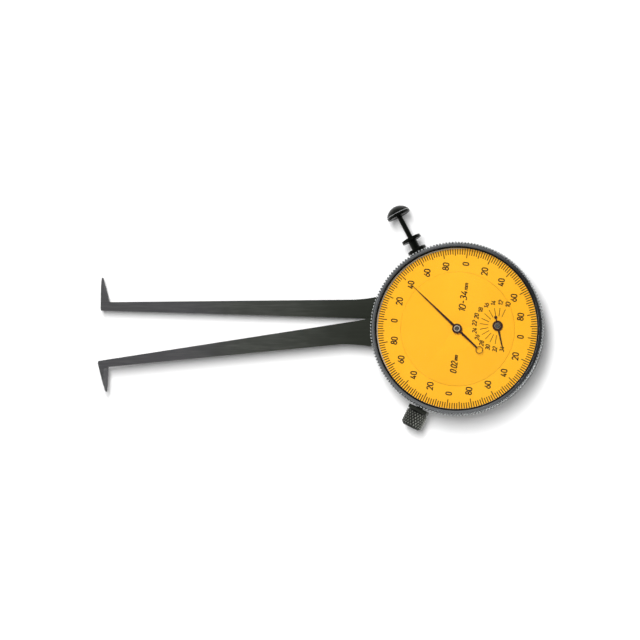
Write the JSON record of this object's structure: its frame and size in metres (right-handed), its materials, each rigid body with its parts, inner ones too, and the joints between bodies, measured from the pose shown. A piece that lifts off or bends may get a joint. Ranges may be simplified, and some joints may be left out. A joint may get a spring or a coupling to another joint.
{
  "type": "inside dial caliper",
  "caption": "Inside dial caliper: two long hooked arms on a round dial head; a push button closes the sprung jaws and geared hands read the opening.",
  "frame": {"origin": "on the dial axis at the back face", "axes": "+Z out of the dial face, -X along the arms towards the jaws, +Y towards the push button side"},
  "size_m": [0.1345, 0.0673, 0.0154],
  "materials": {
    "black_steel": "ground and black-oxided steel",
    "case_black": "satin black",
    "bezel_grey": "satin grey, fine straight knurl",
    "bright_steel": "polished steel",
    "blue_steel": "blued spring steel",
    "brass": "machined brass",
    "dial_yellow": "matt yellow print on a metal dial",
    "hand_dark": "dark lacquer",
    "spacer": "plain aluminium",
    "clear": "clear acrylic"
  },
  "bodies": {
    "case": {"case_body": "case_black", "back_cover": "case_black", "cover_screws": "bright_steel", "fixed_jaw": "black_steel", "jaw_screws": "bright_steel", "pivot_pin": "bright_steel", "pivot_washer": "brass", "main_plate": "brass", "plate_screws": "bright_steel", "counter_cock": "brass", "cock_screws": "bright_steel", "bridge_pillars": "brass", "bridge_plate": "brass", "bridge_screws": "bright_steel", "swing_stops": "bright_steel", "spring_post": "bright_steel", "return_spring": "bright_steel", "hairspring": "blue_steel", "hairspring_stud": "bright_steel", "dial_disc": "dial_yellow", "bezel_snap_ring": "bright_steel", "button_bush": "case_black", "button_nut": "case_black"},
    "moving_arm": {"moving_jaw": "black_steel", "sector_gear": "brass", "sector_screws": "bright_steel", "spring_pin": "bright_steel"},
    "button": {"button_rod": "case_black", "button_head": "case_black", "rod_clip": "bright_steel"},
    "counter": {"counter_arbor": "bright_steel", "counter_wheel": "brass", "small_hand": "hand_dark", "small_hand_hub": "bright_steel"},
    "centre": {"centre_arbor": "bright_steel", "main_hand": "hand_dark", "main_hand_hub": "bright_steel"},
    "hair": {"hair_arbor": "bright_steel", "hair_wheel": "brass"},
    "bezel": {"bezel_ring": "bezel_grey", "crystal": "clear", "spacer_ring": "spacer", "scale_ring": "dial_yellow", "dial_circlip": "bright_steel"},
    "shoe": {"clamp_shoe": "case_black"},
    "knob": {"lock_knob": "case_black"}
  },
  "joints": [
    {"name": "jaw_swing", "type": "hinge", "parent": "case", "child": "moving_arm", "pos_m": [-0.01504, 0.003, 0.0059], "axis": [0, 0, -1], "range_deg": [0, 15.04], "stiffness_Nm_per_rad": 0.147, "springref_deg": -23.49, "deforming": ["return_spring"]},
    {"name": "button_slide", "type": "slide", "parent": "case", "child": "button", "axis": [0.4695, -0.8829, 0], "range_m": [0, 0.00311]},
    {"name": "counter_turn", "type": "hinge", "parent": "case", "child": "counter", "pos_m": [0.01207, 0.00084, 0.0091], "axis": [0, 0, -1], "range_deg": [0, 219.61]},
    {"name": "centre_turn", "type": "hinge", "parent": "case", "child": "centre", "pos_m": [0, 0, 0.0091], "axis": [0, 0, 1], "range_deg": [0, 2196.01]},
    {"name": "hair_turn", "type": "hinge", "parent": "case", "child": "hair", "pos_m": [-0.00729, -0.00544, 0.0091], "axis": [0, 0, -1], "range_deg": [0, 301.96], "deforming": ["hairspring"]},
    {"name": "bezel_turn", "type": "hinge", "parent": "case", "child": "bezel", "pos_m": [0, 0, 0.0117], "axis": [0, 0, 1], "continuous": true},
    {"name": "shoe_press", "type": "slide", "parent": "case", "child": "shoe", "axis": [0.4462, 0.8949, 0], "range_m": [0, 0.0002]},
    {"name": "lock_turn", "type": "hinge", "parent": "shoe", "child": "knob", "pos_m": [-0.01249, -0.02506, 0.0054], "axis": [0.4462, 0.8949, 0], "range_deg": [0, 144]}
  ],
  "couplings": [
    {"joint": "button_slide", "follows": "jaw_swing", "m_per_rad": 0.011841},
    {"joint": "counter_turn", "follows": "jaw_swing", "ratio": 14.6},
    {"joint": "centre_turn", "follows": "jaw_swing", "ratio": 146},
    {"joint": "hair_turn", "follows": "jaw_swing", "ratio": 20.075},
    {"joint": "lock_turn", "follows": "shoe_press", "rad_per_m": 12566}
  ]
}
